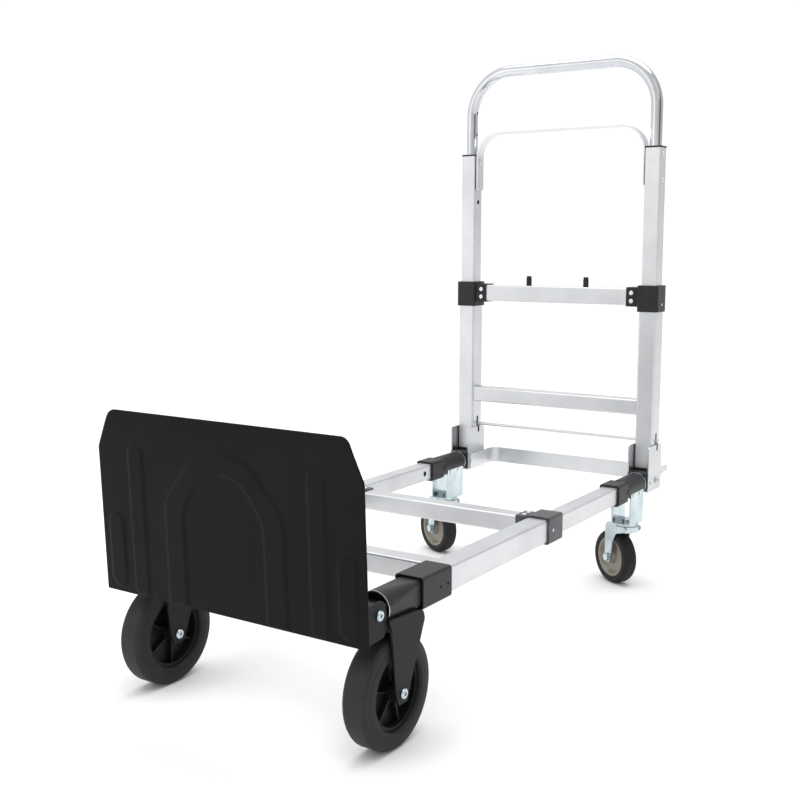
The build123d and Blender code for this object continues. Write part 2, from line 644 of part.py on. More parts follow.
# ---------------------------------------------------------------- casters
for side, s in SIDES:
    x = s * rail_x
    turn = radians(caster_turn[side])
    trail = Vector(cos(turn), sin(turn), 0)
    axle = trail.cross(Vector(0, 0, 1))
    centre = Vector(x, caster_y, 0)
    profile = Plane(origin=centre, x_dir=trail, z_dir=axle)

    with BuildPart() as caster_fork:
        with BuildSketch(profile.offset(-18.5)):
            with BuildLine():
                FilletPolyline(
                    (-17, 117), (36, 117), (40.5, 110), (40.5, 45), (36, 41), (28, 41), (23.5, 47),
                    (18, 82), (8, 100), (-14, 106), (-20, 112),
                    radius=[2, 4, 4, 3.9, 3, 3, 3, 8, 8, 3, 2], close=True,
                )
            make_face()
        extrude(amount=37)
        with BuildSketch(Plane(origin=centre, x_dir=axle, z_dir=-trail).offset(-60)):
            with Locations((0, 58)):
                Rectangle(31, 110)
        extrude(amount=120, mode=Mode.SUBTRACT)
        with BuildSketch(floor_plane(106)):
            with Locations((x, caster_y)):
                Circle(22.5)
                Circle(19.5, mode=Mode.SUBTRACT)
        extrude(amount=11)
        with BuildSketch(floor_plane(113)):
            with Locations((x, caster_y)):
                Circle(22.5)
        extrude(amount=4)
        with BuildSketch(floor_plane(90)):
            with Locations((x, caster_y)):
                Circle(5.1)
        extrude(amount=40, mode=Mode.SUBTRACT)
        with BuildSketch(profile.offset(-30)):
            with Locations((caster_trail, caster_r)):
                Circle(axle_d / 2 + axle_clear)
        extrude(amount=60, mode=Mode.SUBTRACT)
    save(caster_fork, f"caster_fork_{side}")

    middle = centre + trail * caster_trail + Vector(0, 0, caster_r)
    spin = Axis(middle, axle)
    half_section = Plane(origin=middle, x_dir=axle, z_dir=-trail)
    with BuildPart() as tread:
        with BuildSketch(half_section):
            with Locations((0, (caster_r + caster_hub_r) / 2)):
                Rectangle(caster_wide, caster_r - caster_hub_r)
            outer = vertices().group_by(Axis.Y)[-1]
            fillet(outer, 5.5)
        revolve(axis=spin)
    save(tread, f"caster_tread_{side}")

    with BuildPart() as caster_hub:
        with BuildSketch(half_section):
            with BuildLine():
                Polyline(
                    (-15, 4 + axle_clear), (-15, 11), (-8, 14), (-6, 29), (-12, 33), (-12.5, 37),
                    (12.5, 37), (12, 33), (6, 29), (8, 14), (15, 11), (15, 4 + axle_clear), close=True,
                )
            make_face()
        revolve(axis=spin)
    save(caster_hub, f"caster_hub_{side}")

    with BuildPart() as caster_axle:
        with BuildSketch(profile.offset(-18.5)):
            with Locations((caster_trail, caster_r)):
                Circle(axle_d / 2)
        extrude(amount=37 + 9)
        with BuildSketch(profile.offset(-18.5)):
            with Locations((caster_trail, caster_r)):
                RegularPolygon(6.5, 6, major_radius=False)
        extrude(amount=-5)
        with BuildSketch(profile.offset(18.5)):
            with Locations((caster_trail, caster_r)):
                RegularPolygon(6.5, 6, major_radius=False)
        extrude(amount=6.5)
    save(caster_axle, f"caster_axle_{side}")

# ---------------------------------------------------------------- upright frame
for side, s in SIDES:
    x = s * rail_x
    with BuildPart() as upright_tube:
        rounded_tube(
            floor_plane(upright_z0), (x, pivot_y), outer_x, outer_d, outer_corner, outer_wall,
            upright_z1 - upright_z0,
        )
        slot_low, slot_high = rod_locked_z - rod_d / 2 - 0.6, rod_high_z + rod_d / 2 + 0.6
        with BuildSketch(side_plane(x - 25)):
            with Locations((pivot_y, (slot_low + slot_high) / 2)):
                SlotOverall(slot_high - slot_low, rod_d + 0.8, rotation=90)
        extrude(amount=50, mode=Mode.SUBTRACT)
    save(upright_tube, f"upright_tube_{side}")
    eared_collar((x, pivot_y, upright_collar_z0), (0, 0, 1), s, f"upright_collar_{side}")

with BuildPart() as feet:
    for s in (-1, 1):
        x = s * rail_x
        with BuildSketch(side_plane(x - tongue_half)):
            with Locations((pivot_y, pivot_z)):
                Circle(outer_d / 2)
            with Locations((pivot_y, (pivot_z + upright_z0) / 2)):
                Rectangle(outer_d, upright_z0 - pivot_z)
        extrude(amount=2 * tongue_half)
        with BuildSketch(floor_plane(upright_z0)):
            with Locations((x, pivot_y)):
                RectangleRounded(outer_x - 3.4, outer_d - 3.4, 2.2)
        extrude(amount=28)
        with BuildSketch(side_plane(x - 30)):
            with Locations((pivot_y, pivot_z)):
                Circle(axle_d / 2 + axle_clear)
        extrude(amount=60, mode=Mode.SUBTRACT)
save(feet, "upright_feet")

with BuildPart() as lower_crossbar:
    rounded_tube(
        side_plane(-bar_half), (pivot_y, lower_crossbar_z), cross_wide, cross_tall, cross_corner,
        cross_wall, 2 * bar_half,
    )
save(lower_crossbar, "upright_lower_crossbar")

upright_bar_z = upright_collar_z0 + ear_middle
with BuildPart() as upright_crossbar:
    rounded_tube(
        side_plane(-mid_bar_half), (pivot_y, upright_bar_z), cross_tall, cross_wide, cross_corner,
        cross_wall, 2 * mid_bar_half,
    )
    rivet_spots = [(s * rivet_x, upright_bar_z + d) for s in (-1, 1) for d in rivet_pair]
    cross_holes(front_plane(pivot_y), rivet_spots, rivet_d + 0.1, 40)
save(upright_crossbar, "upright_crossbar")

with BuildPart() as upright_rivets:
    for spot in rivet_spots:
        rivet(front_plane(pivot_y - cross_tall / 2 - ear_wall), spot, 5.0)
    for s in (-1, 1):
        stud(s, pivot_y, upright_collar_z0 + stud_along)
save(upright_rivets, "upright_rivets")

# round pegs with moulded rings
with BuildPart() as pegs:
    peg_foot = upright_bar_z + cross_wide / 2
    ring_pitch = (peg_tall - 5) / peg_rings
    with BuildSketch(floor_plane(peg_foot)):
        with Locations((-peg_x, pivot_y), (peg_x, pivot_y)):
            Circle(peg_d / 2 - 0.6)
    extrude(amount=peg_tall)
    fillet(pegs.faces().group_by(Axis.Z)[-1].edges(), 2.0)
    for ring in range(peg_rings):
        with BuildSketch(floor_plane(peg_foot + 1 + ring * ring_pitch)):
            with Locations((-peg_x, pivot_y), (peg_x, pivot_y)):
                Circle(peg_d / 2)
        extrude(amount=ring_pitch * 0.6)
save(pegs, "crossbar_pegs")

# ---------------------------------------------------------------- telescoping upper frame
top_rivet_spots = [(pivot_y, 747), (pivot_y, 795)]
for side, s in SIDES:
    x = s * rail_x
    with BuildPart() as upper_tube:
        rounded_tube(
            floor_plane(upper_z0), (x, pivot_y), inner_x, inner_d, inner_corner, inner_wall,
            upper_z1 - upper_z0,
        )
        cross_holes(side_plane(x), [(pivot_y, upper_hole_z)], snap_hole_d, -s * 30)
        cross_holes(side_plane(x - 30), top_rivet_spots, rivet_d + 0.1, 60)
    save(upper_tube, f"upper_tube_{side}")

    # top plug with a thin flange, a sleeve in the tube and a flap down the inner face
    with BuildPart() as plug:
        with BuildSketch(floor_plane(upper_z1)):
            with Locations((x, pivot_y)):
                RectangleRounded(inner_x + 1.6, inner_d + 1.6, inner_corner)
        extrude(amount=plug_flange)
        fillet(plug.faces().sort_by(Axis.Z)[-1].edges(), 1.0)
        with BuildSketch(floor_plane(upper_z1)):
            with Locations((x, pivot_y)):
                RectangleRounded(inner_x - 2 * inner_wall - 0.2, inner_d - 2 * inner_wall - 0.2, 1.6)
        extrude(amount=-24)
        with BuildSketch(side_plane(x - s * (inner_x / 2 + flap_thick / 2 + 0.05))):
            with Locations((pivot_y, upper_z1 + plug_flange - flap_tall / 2 - 0.5)):
                Rectangle(25, flap_tall)
        extrude(amount=flap_thick / 2, both=True)
        with BuildSketch(floor_plane(upper_z1 + 10)):
            with Locations((x, pivot_y)):
                Circle(handle_d / 2 + 0.1)
        extrude(amount=-50, mode=Mode.SUBTRACT)
        with BuildSketch(side_plane(x - 30)):
            with Locations((pivot_y, 747), (pivot_y, 795)):
                Circle(rivet_d / 2 + 0.05)
        extrude(amount=60, mode=Mode.SUBTRACT)
    save(plug, f"tube_plug_{side}")

top_arm_x = rail_x - inner_x / 2 - flap_thick - 0.1 - top_strap_thick / 2
with BuildPart() as top_strap:
    with BuildLine(front_plane(pivot_y)) as top_path:
        FilletPolyline(
            (-top_arm_x, 739), (-top_arm_x, top_strap_z), (top_arm_x, top_strap_z), (top_arm_x, 739),
            radius=top_strap_bend,
        )
    with BuildSketch(floor_plane(739)):
        with Locations((-top_arm_x, pivot_y)):
            Rectangle(top_strap_thick, top_strap_wide)
    sweep(path=top_path.line)
    with BuildSketch(side_plane(-220)):
        with Locations((pivot_y, 747), (pivot_y, 795)):
            Circle(rivet_d / 2 + 0.05)
    extrude(amount=440, mode=Mode.SUBTRACT)
save(top_strap, "top_strap")

with BuildPart() as top_rivets:
    for s in (-1, 1):
        strap_face = s * (top_arm_x - top_strap_thick / 2)
        inward = Plane(origin=(strap_face, 0, 0), x_dir=(0, -s, 0), z_dir=(-s, 0, 0))
        outer_face = s * (rail_x + inner_x / 2)
        outward = Plane(origin=(outer_face, 0, 0), x_dir=(0, s, 0), z_dir=(s, 0, 0))
        for z in (747, 795):
            rivet(inward, (-s * pivot_y, z), top_strap_thick + flap_thick + inner_wall + 1.0)
            rivet(outward, (s * pivot_y, z), inner_wall + 1.0)
save(top_rivets, "top_strap_rivets")

# ---------------------------------------------------------------- handle and locking rod
with BuildPart() as handle:
    with BuildLine(front_plane(pivot_y)) as handle_path:
        FilletPolyline(
            (-rail_x, handle_z0), (-rail_x, handle_z), (rail_x, handle_z), (rail_x, handle_z0),
            radius=handle_bend,
        )
    with BuildSketch(floor_plane(handle_z0)):
        with Locations((-rail_x, pivot_y)):
            Circle(handle_d / 2)
            Circle(handle_d / 2 - handle_wall, mode=Mode.SUBTRACT)
    sweep(path=handle_path.line)
    with BuildSketch(side_plane(-rail_x)):
        with Locations((pivot_y, 849), (pivot_y, 891)):
            Circle(2.6)
    extrude(amount=20, mode=Mode.SUBTRACT)
save(handle, "handle_tube")

with BuildPart() as lock_rod:
    rod_half = rail_x + bracket_half + 0.4
    with BuildSketch(side_plane(-rod_half)):
        with Locations((pivot_y, rod_rest_z)):
            Circle(rod_d / 2)
    extrude(amount=2 * rod_half)
    for s in (-1, 1):
        tip = Plane(origin=(s * rod_half, 0, 0), x_dir=(0, s, 0), z_dir=(s, 0, 0))
        domed_head(tip, (s * pivot_y, rod_rest_z), 9.0, 2.6)
save(lock_rod, "lock_rod")
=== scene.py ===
import json
import math

import bmesh
import bpy
from mathutils import Matrix, Vector


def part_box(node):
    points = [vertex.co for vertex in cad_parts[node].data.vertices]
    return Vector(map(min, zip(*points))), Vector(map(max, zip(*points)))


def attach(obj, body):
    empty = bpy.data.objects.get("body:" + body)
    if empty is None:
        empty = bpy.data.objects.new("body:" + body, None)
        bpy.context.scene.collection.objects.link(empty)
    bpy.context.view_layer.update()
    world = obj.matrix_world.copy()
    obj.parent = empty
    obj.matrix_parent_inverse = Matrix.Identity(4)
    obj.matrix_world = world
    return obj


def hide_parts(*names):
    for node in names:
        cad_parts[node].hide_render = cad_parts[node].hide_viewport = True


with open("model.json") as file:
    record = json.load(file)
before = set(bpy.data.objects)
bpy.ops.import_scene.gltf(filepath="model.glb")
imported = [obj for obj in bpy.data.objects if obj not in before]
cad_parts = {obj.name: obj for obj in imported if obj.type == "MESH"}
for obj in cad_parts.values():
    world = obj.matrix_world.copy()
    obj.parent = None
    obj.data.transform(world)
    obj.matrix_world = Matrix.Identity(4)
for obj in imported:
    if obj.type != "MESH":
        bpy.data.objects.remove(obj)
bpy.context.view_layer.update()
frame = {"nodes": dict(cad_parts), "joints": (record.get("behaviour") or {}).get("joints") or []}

nodes = frame["nodes"]
mm = 0.001


# ---------------------------------------------------------------- materials
grain_depth = 0.0003                    # metres of relief in every fine grain
mottle_from, mottle_to = 0.32, 0.68     # the stretch of noise over which a colour wanders


def new_material(name):
    """A node material with only a Principled shader, its tree and that shader."""
    made = bpy.data.materials.new(name)
    made.use_nodes = True
    tree = made.node_tree
    return made, tree, tree.nodes["Principled BSDF"]


def add(tree, kind, **inputs):
    """Adds a node and sets its unlinked inputs by name."""
    node = tree.nodes.new(kind)
    for key, value in inputs.items():
        node.inputs[key.replace("_", " ")].default_value = value
    return node


def object_space(tree, scale):
    """Object coordinates, stretched by a scale for each axis."""
    coords = tree.nodes.new("ShaderNodeTexCoord")
    mapping = add(tree, "ShaderNodeMapping", Scale=scale)
    tree.links.new(coords.outputs["Object"], mapping.inputs["Vector"])
    return mapping.outputs["Vector"]


def mottled(tree, vector, low, high, **noise_inputs):
    """A colour that wanders between two values, and the noise that it follows."""
    texture = add(tree, "ShaderNodeTexNoise", **noise_inputs)
    ramp = tree.nodes.new("ShaderNodeValToRGB")
    ramp.color_ramp.elements[0].position = mottle_from
    ramp.color_ramp.elements[1].position = mottle_to
    ramp.color_ramp.elements[0].color = (*low, 1)
    ramp.color_ramp.elements[1].color = (*high, 1)
    tree.links.new(vector, texture.inputs["Vector"])
    tree.links.new(texture.outputs["Fac"], ramp.inputs["Fac"])
    return ramp.outputs["Color"], texture.outputs["Fac"]


def spread(tree, source, low, high):
    """A value from 0..1 spread over low..high."""
    node = add(tree, "ShaderNodeMapRange", To_Min=low, To_Max=high)
    tree.links.new(source, node.inputs["Value"])
    return node.outputs["Result"]


def relief(tree, shader, height, strength, edge=0.0):
    """Bump from a height, over edges rounded by a bevel."""
    bump = add(tree, "ShaderNodeBump", Strength=strength, Distance=grain_depth)
    tree.links.new(height, bump.inputs["Height"])
    if edge:
        bevel = add(tree, "ShaderNodeBevel", Radius=edge)
        bevel.samples = 4
        tree.links.new(bevel.outputs["Normal"], bump.inputs["Normal"])
    tree.links.new(bump.outputs["Normal"], shader.inputs["Normal"])


def metal(name, low, high, rough, grain, coarse=9.0, bump=0.12):
    """Bare metal: grain is the fine noise's cells in a metre along each axis, coarse the mottle's."""
    swing, edge = 0.07, 0.0004
    made, tree, shader = new_material(name)
    shader.inputs["Metallic"].default_value = 1.0
    broad = object_space(tree, (coarse, coarse, coarse))
    colour, _ = mottled(tree, broad, low, high, Scale=1.0, Detail=4.0, Roughness=0.6)
    fine_vector = object_space(tree, grain)
    fine = add(tree, "ShaderNodeTexNoise", Scale=1.0, Detail=5.0, Roughness=0.7)
    tree.links.new(fine_vector, fine.inputs["Vector"])
    tree.links.new(colour, shader.inputs["Base Color"])
    dull = spread(tree, fine.outputs["Fac"], rough - swing, rough + swing)
    tree.links.new(dull, shader.inputs["Roughness"])
    relief(tree, shader, fine.outputs["Fac"], bump, edge)
    return made


def plastic(name, low, high, rough, grain=900.0, coarse=14.0, coat=0.0, spec=0.5):
    """Moulding, rubber or powder coat with a fine grain and faint handling marks."""
    swing, bump, edge = 0.08, 0.25, 0.0006
    made, tree, shader = new_material(name)
    shader.inputs["Specular IOR Level"].default_value = spec
    shader.inputs["Coat Weight"].default_value = coat
    shader.inputs["Coat Roughness"].default_value = 0.25
    broad = object_space(tree, (coarse, coarse, coarse))
    colour, wander = mottled(tree, broad, low, high, Scale=1.0, Detail=6.0, Roughness=0.65)
    fine_vector = object_space(tree, (grain, grain, grain))
    fine = add(tree, "ShaderNodeTexNoise", Scale=1.0, Detail=3.0, Roughness=0.6)
    tree.links.new(fine_vector, fine.inputs["Vector"])
    tree.links.new(colour, shader.inputs["Base Color"])
    dull = spread(tree, wander, rough - swing, rough + swing)
    tree.links.new(dull, shader.inputs["Roughness"])
    relief(tree, shader, fine.outputs["Fac"], bump, edge)
    return made


def dusty_rubber(name, low, high, dust, dust_from, dust_to):
    """Rubber with dust that grows between two distances from the wheel's axle."""
    made, tree, shader = new_material(name)
    shader.inputs["Specular IOR Level"].default_value = 0.25
    broad = object_space(tree, (40, 40, 40))
    colour, wander = mottled(tree, broad, low, high, Scale=1.0, Detail=6.0, Roughness=0.7)
    coords = tree.nodes.new("ShaderNodeTexCoord")
    from_axle = tree.nodes.new("ShaderNodeVectorMath")
    from_axle.operation = "LENGTH"
    flat = add(tree, "ShaderNodeMapping", Scale=(1, 1, 0))
    tree.links.new(coords.outputs["Object"], flat.inputs["Vector"])
    tree.links.new(flat.outputs["Vector"], from_axle.inputs[0])
    outward = add(tree, "ShaderNodeMapRange", From_Min=dust_from, From_Max=dust_to)
    tree.links.new(from_axle.outputs["Value"], outward.inputs["Value"])
    patches = tree.nodes.new("ShaderNodeMath")
    patches.operation = "MULTIPLY"
    tree.links.new(outward.outputs["Result"], patches.inputs[0])
    tree.links.new(wander, patches.inputs[1])
    mix = tree.nodes.new("ShaderNodeMix")
    mix.data_type = "RGBA"
    mix.inputs["B"].default_value = (*dust, 1)
    tree.links.new(patches.outputs["Value"], mix.inputs["Factor"])
    tree.links.new(colour, mix.inputs["A"])
    tree.links.new(mix.outputs["Result"], shader.inputs["Base Color"])
    tree.links.new(spread(tree, wander, low=0.5, high=0.68), shader.inputs["Roughness"])
    fine = add(tree, "ShaderNodeTexNoise", Scale=700.0, Detail=4.0, Roughness=0.7)
    tree.links.new(coords.outputs["Object"], fine.inputs["Vector"])
    relief(tree, shader, fine.outputs["Fac"], strength=0.3)
    return made


def aluminium(name, grain):
    """Drawn aluminium section, whose grain is long along one axis."""
    return metal(name, (0.60, 0.61, 0.625), (0.70, 0.71, 0.725), 0.40, grain)


long_grain, cross_grain = 12, 900
along_x = aluminium("aluminium_crossbar", (long_grain, cross_grain, cross_grain))
along_y = aluminium("aluminium_along_rail", (cross_grain, long_grain, cross_grain))
along_z = aluminium("aluminium_along_upright", (cross_grain, cross_grain, long_grain))
strap_metal = metal(
    "aluminium_strap", (0.62, 0.63, 0.645), (0.72, 0.73, 0.745), 0.36, grain=(60, 900, 900)
)
polished = metal(
    "polished_handle", (0.53, 0.545, 0.57), (0.64, 0.655, 0.68), 0.08, grain=(700, 700, 700), bump=0.02
)
bracket_metal = metal(
    "bracket_steel", (0.52, 0.53, 0.54), (0.64, 0.65, 0.66), 0.32, grain=(500, 500, 30)
)
zinc = metal(
    "zinc_plate", (0.40, 0.49, 0.52), (0.62, 0.69, 0.72), 0.2, grain=(350, 350, 350), coarse=30,
    bump=0.08,
)
rivet_metal = metal(
    "rivet_aluminium", (0.62, 0.63, 0.64), (0.78, 0.79, 0.80), 0.3, grain=(700, 700, 700)
)
black_mould = plastic(
    "black_moulding", (0.0105, 0.011, 0.0125), (0.018, 0.0185, 0.021), 0.44, spec=0.30
)
# A lighter copy of the black moulding for the rail collars. Its raised grey is painted sheen, and its
# coarse mottle stands for scuffs.
painted_sheen_and_scuff_mould = plastic(
    "painted_sheen_and_scuff_moulding", (0.020, 0.021, 0.024), (0.075, 0.078, 0.084), 0.4, grain=90, coarse=60
)
black_coat = plastic(
    "black_powder_coat", (0.007, 0.0075, 0.009), (0.012, 0.0125, 0.014), 0.46, grain=1400, spec=0.15
)
plate_coat = plastic(
    "plate_powder_coat", (0.005, 0.0053, 0.006), (0.009, 0.0094, 0.0105), 0.46, grain=1500, coarse=7,
    spec=0.08,
)
hub_black = plastic("hub_moulding", (0.006, 0.006, 0.007), (0.011, 0.011, 0.012), 0.5, spec=0.2)
taupe = plastic("caster_hub_moulding", (0.17, 0.157, 0.122), (0.25, 0.232, 0.185), 0.38, coat=0.2)
tread_rubber = plastic(
    "tread_rubber", (0.008, 0.008, 0.0085), (0.017, 0.0165, 0.016), 0.6, grain=700, coarse=25, spec=0.25
)
tyre_rubber = dusty_rubber(
    "tyre_rubber", (0.009, 0.009, 0.0095), (0.016, 0.016, 0.016), dust=(0.036, 0.033, 0.028),
    dust_from=60 * mm, dust_to=74 * mm,
)

paired_finish = {
    "outer_rail": along_y,
    "inner_rail": along_y,
    "upright_tube": along_z,
    "upper_tube": along_z,
    "front_collar": black_mould,
    "upright_collar": black_mould,
    "front_sleeve": black_mould,
    "rear_sleeve": black_mould,
    "tube_plug": black_mould,
    "rail_collar": painted_sheen_and_scuff_mould,
    "wheel_fork": black_coat,
    "hinge_bracket": bracket_metal,
    "caster_bracket": zinc,
    "caster_fork": zinc,
    "caster_axle": zinc,
    "front_hub": hub_black,
    "caster_hub": taupe,
}
finish = {
    "front_crossbar": along_x,
    "mid_crossbar": along_x,
    "upright_lower_crossbar": along_x,
    "upright_crossbar": along_x,
    "rear_strap": strap_metal,
    "top_strap": strap_metal,
    "lock_rod": strap_metal,
    "handle_tube": polished,
    "upright_feet": black_mould,
    "crossbar_pegs": black_mould,
    "nose_plate_ears": black_coat,
    "front_bolts": zinc,
    "pivot_bolts": zinc,
    "caster_kingpins": zinc,
    "front_sleeve_rims": zinc,
    "rear_sleeve_rims": zinc,
    "rail_rivets": rivet_metal,
    "upright_rivets": rivet_metal,
    "caster_bracket_rivets": rivet_metal,
    "rear_strap_rivets": rivet_metal,
    "top_strap_rivets": rivet_metal,
}
for side in ("left", "right"):
    finish.update({f"{name}_{side}": made for name, made in paired_finish.items()})

for name, made in finish.items():
    mesh = nodes[name].data
    mesh.materials.clear()
    mesh.materials.append(made)


# ---------------------------------------------------------------- mesh tools
def piece(name, verts, faces, made, sharp):
    """A new smooth-shaded mesh object, creased where its faces meet at over sharp degrees."""
    mesh = bpy.data.meshes.new(name)
    mesh.from_pydata(verts, [], faces)
    mesh.validate()
    shell = bmesh.new()
    shell.from_mesh(mesh)
    bmesh.ops.recalc_face_normals(shell, faces=shell.faces)
    shell.to_mesh(mesh)
    shell.free()
    mesh.polygons.foreach_set("use_smooth", [True] * len(mesh.polygons))
    mesh.set_sharp_from_angle(angle=math.radians(sharp))
    mesh.materials.append(made)
    made_object = bpy.data.objects.new(name, mesh)
    bpy.context.collection.objects.link(made_object)
    return made_object


def lathe(name, profile, made, turns):
    """A closed profile of (along, radius) points in metres, turned about the object's own Z."""
    verts, faces = [], []
    count = len(profile)
    for i in range(turns):
        angle = 2 * math.pi * i / turns
        verts += [(r * math.cos(angle), r * math.sin(angle), along) for along, r in profile]
        for j in range(count):
            a, b = i * count + j, i * count + (j + 1) % count
            c, d = (b + count) % (turns * count), (a + count) % (turns * count)
            faces.append((a, b, c, d))
    return piece(name, verts, faces, made, sharp=30)


def on_axle(centre, axle):
    """The matrix that stands a lathed object at a wheel's centre with its Z along the axle."""
    turn = Vector(axle).to_track_quat("Z", "Y").to_matrix().to_4x4()
    return Matrix.Translation(centre) @ turn


def rounded(points, radii, steps=6):
    """A closed outline with each corner rounded by its own radius."""
    out = []
    count = len(points)
    for i, (point, radius) in enumerate(zip(points, radii)):
        here = Vector(point)
        back = (Vector(points[i - 1]) - here).normalized()
        ahead = (Vector(points[(i + 1) % count]) - here).normalized()
        if radius <= 0:
            out.append(tuple(here))
            continue
        half_angle = back.angle(ahead) / 2
        reach = radius / math.tan(half_angle)
        middle = here + (back + ahead).normalized() * (radius / math.sin(half_angle))
        start, end = here + back * reach - middle, here + ahead * reach - middle
        for k in range(steps + 1):
            t = k / steps
            spoke = (start * (1 - t) + end * t).normalized() * radius
            out.append(tuple(middle + spoke))
    return out


# ---------------------------------------------------------------- front tyres and caster treads
def rubber_profile(corners):
    """A wheel's closed profile in metres, from (along, radius, rounding) corners in millimetres on
    one side of its middle, listed from the bore outwards."""
    both = [(-a, r, fillet) for a, r, fillet in corners] + corners[::-1]
    outline = rounded([(a, r) for a, r, _ in both], [fillet for _, _, fillet in both])
    return [(a * mm, r * mm) for a, r in outline]


tyre_half, tyre_r, tyre_bore = 19.5, 75.0, 50.0
tyre_corners = [
    (tyre_half, tyre_bore, 4.8),        # bead against the hub
    (tyre_half, 63.0, 3.0),             # end of the flat side wall
    (tyre_half - 0.9, 66.5, 0.8),       # shallow step in the wall
    (tyre_half - 1.6, 71.5, 3.0),       # shoulder
    (13.0, tyre_r, 6.0),                # edge of the tread
]
for side in ("left", "right"):
    low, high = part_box(f"front_tyre_{side}")
    centre = [(l + h) / 2 for l, h in zip(low, high)]
    profile = rubber_profile(tyre_corners)
    tyre = lathe(f"front_tyre_moulded_{side}", profile, tyre_rubber, turns=160)
    tyre.matrix_world = on_axle(centre, (1, 0, 0))
    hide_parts(f"front_tyre_{side}")
    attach(tyre, f"front_wheel_{side}")

tread_half, tread_r, tread_bore = 14.0, 50.0, 37.0
tread_corners = [
    (tread_half, tread_bore, 1.0),
    (tread_half, 44.5, 2.5),
    (12.4, 47.6, 3.0),
    (8.0, tread_r, 12.0),
]
joint_of = {joint["child"]: joint for joint in frame["joints"]}
for side in ("left", "right"):
    roll = joint_of[f"caster_wheel_{side}"]
    profile = rubber_profile(tread_corners)
    tread = lathe(f"caster_tread_moulded_{side}", profile, tread_rubber, turns=128)
    tread.data.transform(on_axle(roll["pos_m"], roll["axis"]))
    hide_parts(f"caster_tread_{side}")
    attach(tread, f"caster_wheel_{side}")

# ---------------------------------------------------------------- pressed nose plate, in millimetres
# The plate has its own axes: x to the right, h up the plate and normal out of its front. Its origin
# is the point of its front face that is nearest to the hinge.
lean = math.radians(2.4)
hinge = Vector((0, 35.0, 188.7))
plate_ahead_of_hinge = 35.0
normal = Vector((0, -math.cos(lean), -math.sin(lean)))
upward = Vector((0, -math.sin(lean), math.cos(lean)))
plate_origin = hinge + normal * plate_ahead_of_hinge

plate_half, plate_top_half = 222.5, 199.0
plate_low, plate_shoulder, plate_high = -31.5, 172.0, 224.8
plate_tall = plate_high - plate_low
foot_round, shoulder_round, top_round = 2, 14, 16
plate_thick, edge_round = 2.5, 1.0
roll_high, roll_back = 24, 1.6          # the top edge is rolled back over this height, by this much

# Each box has its middle, half width, half height and corner radius. Each arch has its half width,
# the height of its sides, the x and height of its shoulder and the height of its crown.
rib_high, rib_wall = 1.6, 4.2
side_rib = ((152, 75), 13, 102.5, 8)
toe_rib = ((195, 29), 14, 52, 14)
arch_outside = (101, 112, 46, 176, 185)
arch_inside = (68, 103, 34, 150, 158)

plate_outline = rounded(
    [
        (0, plate_low),
        (plate_half, plate_low),
        (plate_half, plate_shoulder),
        (plate_top_half, plate_high),
        (0, plate_high),
    ],
    [0, foot_round, shoulder_round, top_round, 0],
    steps=12,
)


def box_distance(x, h, middle, half_wide, half_high, radius):
    """Signed distance to a rounded box, negative inside."""
    dx = abs(x - middle[0]) - half_wide + radius
    dy = abs(h - middle[1]) - half_high + radius
    return math.hypot(max(dx, 0), max(dy, 0)) + min(max(dx, dy), 0) - radius


def arch_distance(x, h, half, side_top, shoulder_x, shoulder_top, top):
    """Distance to a straight-legged arch that is open below, negative inside, corners softened."""
    x = abs(x)
    slope = Vector((side_top - shoulder_top, shoulder_x - half)).normalized()
    crown = Vector((shoulder_top - top, -shoulder_x)).normalized()
    planes = [
        x - half,
        -((x - half) * slope.x + (h - side_top) * slope.y),
        -((x - shoulder_x) * crown.x + (h - shoulder_top) * crown.y),
    ]
    soft = 4.0
    return soft * math.log(sum(math.exp(p / soft) for p in planes))


def pressing(x, h):
    """Height of the pressed ribs over the plate's flat front."""
    side = abs(x)
    arch = max(arch_distance(x, h, *arch_outside), -arch_distance(x, h, *arch_inside))
    ribs = min(box_distance(side, h, *side_rib), box_distance(side, h, *toe_rib), arch)
    t = min(max(0.5 - ribs / rib_wall, 0), 1)
    return rib_high * t * t * (3 - 2 * t)


def half_width(h):
    """Half the plate's width at a height, with its corners rounded."""
    for (x0, h0), (x1, h1) in zip(plate_outline, plate_outline[1:]):
        if h0 <= h <= h1 and h1 > h0:
            return x0 + (x1 - x0) * (h - h0) / (h1 - h0)
    return plate_outline[-2][0]


def quarter_turn(k, count):
    """0 to 1 as k goes from 0 to count, in steps that are closest near 0."""
    return 1 - math.cos(math.pi / 2 * k / count)


def graded(count, edge, close=4):
    """Values from -1 to 1, evenly spaced apart from a few close together at each end."""
    inner = [-1 + edge + (2 - 2 * edge) * i / (count - 1) for i in range(count)]
    near = [edge * quarter_turn(k, close) for k in range(close)]
    return [-1 + n for n in near] + inner + [1 - n for n in reversed(near)]


def plate_points(x, h, wide):
    """A front and a back point of the plate, in metres, where half its width is wide."""
    rolled = max(0.0, (h - (plate_high - roll_high)) / roll_high) ** 2 * roll_back
    rim_h = max(0.0, edge_round - min(h - plate_low, plate_high - h))
    rim_x = max(0.0, edge_round - (wide - abs(x)))
    rim = min(math.hypot(rim_h, rim_x), edge_round)
    drop = edge_round - math.sqrt(edge_round ** 2 - rim ** 2)
    back_drop = drop * 0.6
    lift = pressing(x, h) if rim == 0 else 0.0
    place = plate_origin + Vector((x, 0, 0)) + upward * h
    front_point = (place + normal * (lift - drop - rolled)) * mm
    back_point = (place + normal * (lift - plate_thick + back_drop - rolled)) * mm
    return front_point, back_point


